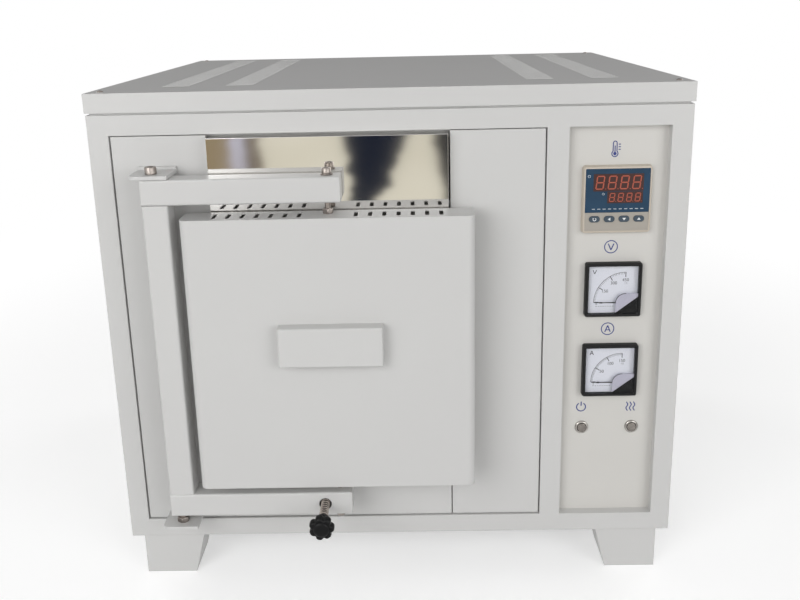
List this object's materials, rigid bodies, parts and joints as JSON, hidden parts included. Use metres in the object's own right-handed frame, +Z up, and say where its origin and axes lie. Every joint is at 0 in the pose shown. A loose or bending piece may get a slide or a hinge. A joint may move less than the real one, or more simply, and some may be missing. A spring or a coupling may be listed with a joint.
{
  "type": "muffle furnace",
  "caption": "Box-type laboratory kiln on folded feet, with a plug door on a swinging arm, a sprung latch, and a control bay with controller, meters and push buttons.",
  "frame": {"origin": "bottom centre of the whole object's bounding box, on the floor under the feet", "axes": "+Z up; the front with the door looks along -Y, so +Y runs from front to back; +X to the right seen from the front"},
  "size_m": [0.8224, 0.8546, 0.7406],
  "materials": {
    "painted_steel": "satin powder coat",
    "arm_paint": "satin powder coat",
    "panel_paint": "satin powder coat",
    "polished_stainless": "polished",
    "zinc_screw": "zinc plated",
    "zinc_sheet": "galvanised",
    "black_steel": "matt",
    "black_plastic": "matt",
    "knob_black": "satin",
    "beige_plastic": "satin",
    "blue_window": "gloss",
    "grey_rubber": "matt",
    "needle_black": "matt",
    "dial_white": "matt",
    "clear_lens": "clear",
    "button_metal": "polished",
    "button_cap": "gloss",
    "spring_steel": "bright",
    "white_fibre": "soft matt",
    "hearth_ceramic": "fired",
    "silicon_carbide": "rough",
    "probe_ceramic": "glazed",
    "heat_sink": "extruded",
    "relay_plastic": "matt"
  },
  "bodies": {
    "cabinet": {"base_tray": "painted_steel", "feet": "painted_steel", "front_frame": "painted_steel", "left_side_panel": "painted_steel", "right_side_panel": "painted_steel", "rear_panel": "painted_steel", "top_cover": "painted_steel", "cover_screws": "zinc_screw", "divider_panel": "zinc_sheet", "bay_left_panel": "painted_steel", "bay_right_panel": "painted_steel", "bay_lower_panel": "painted_steel", "mouth_plate": "polished_stainless", "control_panel": "panel_paint", "controller_body": "black_plastic", "controller_bezel": "beige_plastic", "controller_display": "blue_window", "voltmeter_case": "black_plastic", "ammeter_case": "black_plastic", "meter_dials": "dial_white", "meter_lenses": "clear_lens", "power_button_body": "button_metal", "heating_button_body": "button_metal", "upper_hinge_plate": "painted_steel", "lower_hinge_plate": "painted_steel", "hinge_screws": "zinc_screw", "latch_nut": "zinc_screw", "furnace_case": "zinc_sheet", "furnace_stand": "black_steel", "lining_boards": "white_fibre", "mouth_ring": "white_fibre", "hearth_plate": "hearth_ceramic", "heating_elements": "silicon_carbide", "thermocouple": "probe_ceramic", "transformer": "black_steel", "thyristor_module": "heat_sink", "contactor": "relay_plastic", "terminal_block": "black_plastic", "cable_gland": "black_plastic"},
    "set_key_body": {"set_key": "grey_rubber"},
    "shift_key_body": {"shift_key": "grey_rubber"},
    "down_key_body": {"down_key": "grey_rubber"},
    "up_key_body": {"up_key": "grey_rubber"},
    "power_button": {"power_button_cap": "button_cap"},
    "heating_button": {"heating_button_cap": "button_cap"},
    "voltmeter_pointer": {"voltmeter_needle": "needle_black"},
    "ammeter_pointer": {"ammeter_needle": "needle_black"},
    "arm": {"arm_top_bar": "arm_paint", "arm_upright": "arm_paint", "arm_bottom_bar": "arm_paint", "latch_spring": "spring_steel"},
    "door": {"door_shell": "painted_steel", "door_back_plate": "polished_stainless", "door_plug": "white_fibre", "door_handle": "painted_steel", "door_pivot_screws": "zinc_screw", "door_pivot_nuts": "zinc_screw"},
    "latch_slider": {"latch_washer": "zinc_screw"},
    "latch_screw": {"latch_rod": "zinc_screw", "latch_knob": "knob_black"}
  },
  "joints": [
    {"name": "door_arm_swing", "type": "hinge", "parent": "cabinet", "child": "arm", "pos_m": [-0.318, -0.3402, 0.3795], "axis": [0, 0, -1], "range_deg": [0, 110]},
    {"name": "door_swivel", "type": "hinge", "parent": "arm", "child": "door", "pos_m": [-0.084, -0.3402, 0.3795], "axis": [0, 0, 1], "range_deg": [-1.2, 1.2]},
    {"name": "latch_push", "type": "slide", "parent": "arm", "child": "latch_slider", "axis": [0, 1, 0], "range_m": [0, 0.028], "stiffness_N_per_m": 300, "springref_m": -0.01, "deforming": ["latch_spring"]},
    {"name": "latch_turn", "type": "hinge", "parent": "latch_slider", "child": "latch_screw", "pos_m": [-0.1045, -0.3993, 0.1475], "axis": [0, 1, 0], "continuous": true},
    {"name": "set_key_press", "type": "slide", "parent": "cabinet", "child": "set_key_body", "axis": [0, 1, 0], "range_m": [0, 0.0008], "stiffness_N_per_m": 400, "springref_m": -0.001},
    {"name": "shift_key_press", "type": "slide", "parent": "cabinet", "child": "shift_key_body", "axis": [0, 1, 0], "range_m": [0, 0.0008], "stiffness_N_per_m": 400, "springref_m": -0.001},
    {"name": "down_key_press", "type": "slide", "parent": "cabinet", "child": "down_key_body", "axis": [0, 1, 0], "range_m": [0, 0.0008], "stiffness_N_per_m": 400, "springref_m": -0.001},
    {"name": "up_key_press", "type": "slide", "parent": "cabinet", "child": "up_key_body", "axis": [0, 1, 0], "range_m": [0, 0.0008], "stiffness_N_per_m": 400, "springref_m": -0.001},
    {"name": "power_button_press", "type": "slide", "parent": "cabinet", "child": "power_button", "axis": [0, 1, 0], "range_m": [0, 0.0025], "stiffness_N_per_m": 400, "springref_m": -0.002},
    {"name": "heating_button_press", "type": "slide", "parent": "cabinet", "child": "heating_button", "axis": [0, 1, 0], "range_m": [0, 0.0025], "stiffness_N_per_m": 400, "springref_m": -0.002},
    {"name": "voltmeter_reading", "type": "hinge", "parent": "cabinet", "child": "voltmeter_pointer", "pos_m": [0.331, -0.2969, 0.4272], "axis": [0, 1, 0], "range_deg": [0, 90], "stiffness_Nm_per_rad": 0.0002, "springref_deg": -20.05},
    {"name": "ammeter_reading", "type": "hinge", "parent": "cabinet", "child": "ammeter_pointer", "pos_m": [0.331, -0.2969, 0.3039], "axis": [0, 1, 0], "range_deg": [0, 90], "stiffness_Nm_per_rad": 0.0002, "springref_deg": -20.05}
  ]
}
